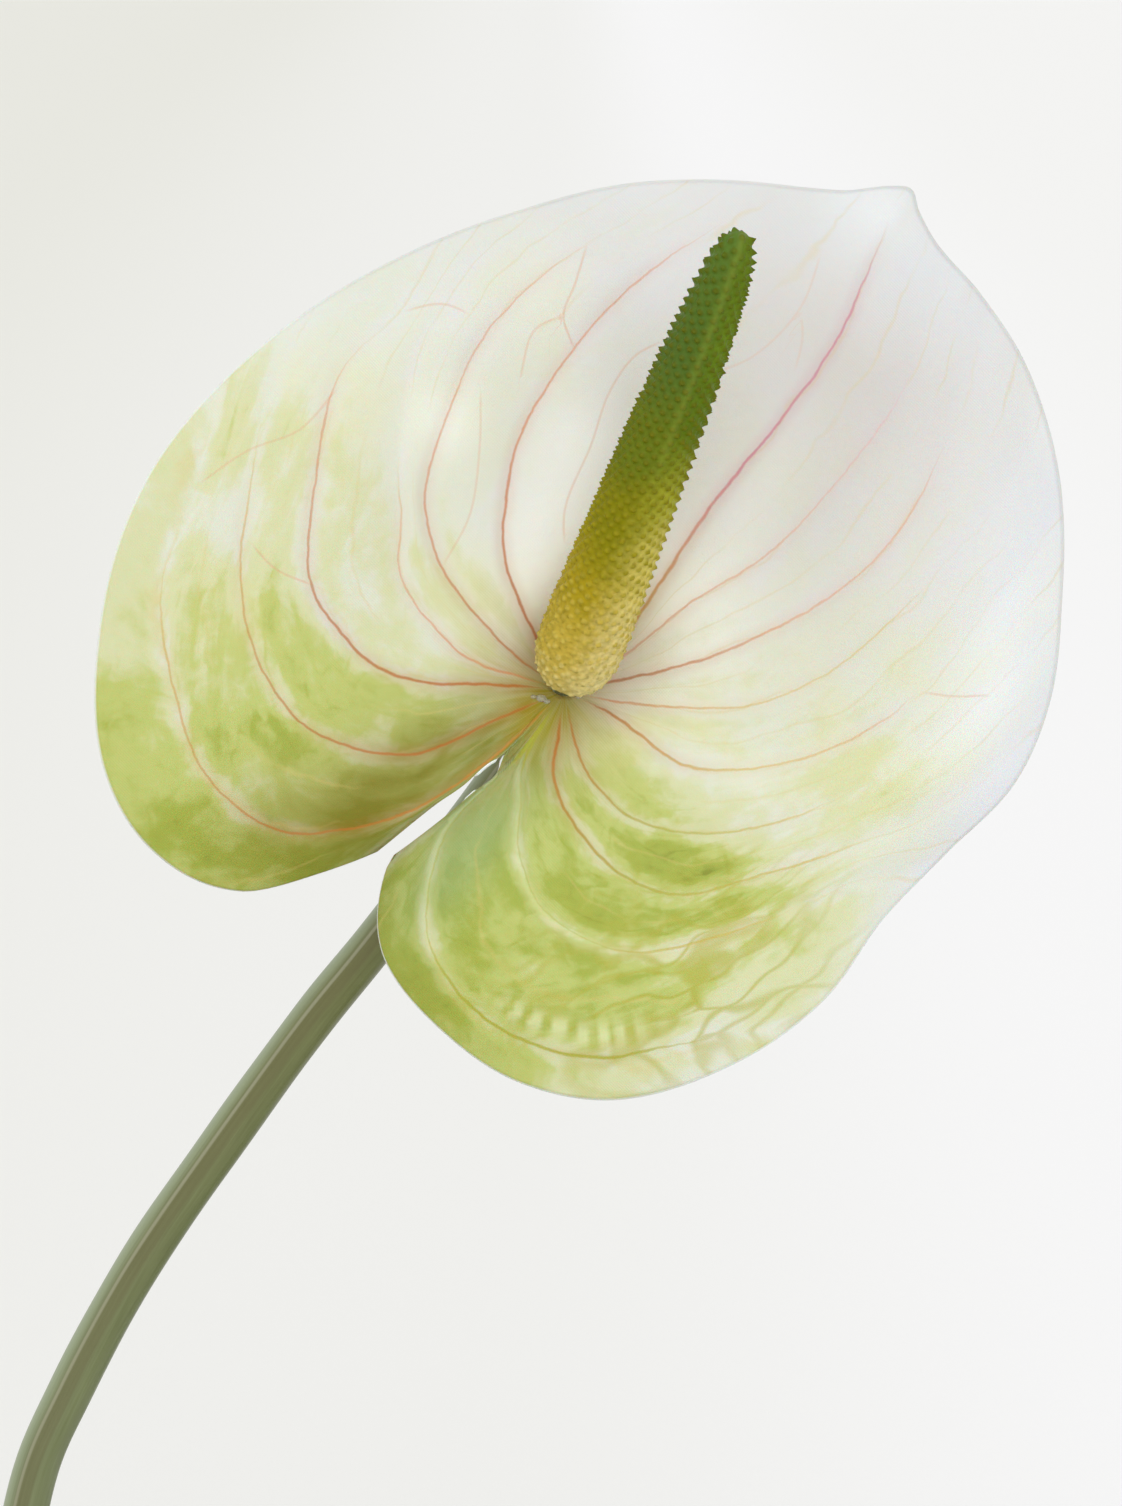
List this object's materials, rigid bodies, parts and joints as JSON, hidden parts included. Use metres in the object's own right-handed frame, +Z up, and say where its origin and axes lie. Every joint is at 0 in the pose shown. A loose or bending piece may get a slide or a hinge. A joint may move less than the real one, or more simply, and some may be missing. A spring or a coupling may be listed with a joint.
{
  "type": "potted anthurium",
  "caption": "Potted anthurium: a heart-shaped white and green veined bloom with a bumpy green spadix on a long bowed stem, over glossy leaves in a plain tapered pot.",
  "frame": {"origin": "centre of the pot's flat underside", "axes": "+Z up, along the pot's axis; the bloom's face looks along -Y and its midrib leans towards +X"},
  "size_m": [0.3241, 0.3011, 0.4457],
  "materials": {
    "pot": "matte",
    "potting_mix": "matte",
    "crown": "matte",
    "stem": "satin",
    "spathe": "satin",
    "spadix": "satin",
    "leaf": "gloss",
    "petiole": "satin",
    "cataphyll": "matte",
    "root": "matte"
  },
  "bodies": {
    "root": {"pot": "pot", "potting_mix": "potting_mix", "crown": "crown", "peduncle": "stem", "spathe": "spathe", "spadix": "spadix", "leaf_1": "leaf", "leaf_2": "leaf", "leaf_3": "leaf", "leaf_4": "leaf", "leaf_5": "leaf", "leaf_6": "leaf", "leaf_7": "leaf", "petiole_1": "petiole", "petiole_2": "petiole", "petiole_3": "petiole", "petiole_4": "petiole", "petiole_5": "petiole", "petiole_6": "petiole", "petiole_7": "petiole", "new_leaf": "petiole", "cataphyll_1": "cataphyll", "cataphyll_2": "cataphyll", "cataphyll_3": "cataphyll", "aerial_root_1": "root", "aerial_root_2": "root", "aerial_root_3": "root", "aerial_root_4": "root"}
  },
  "joints": []
}
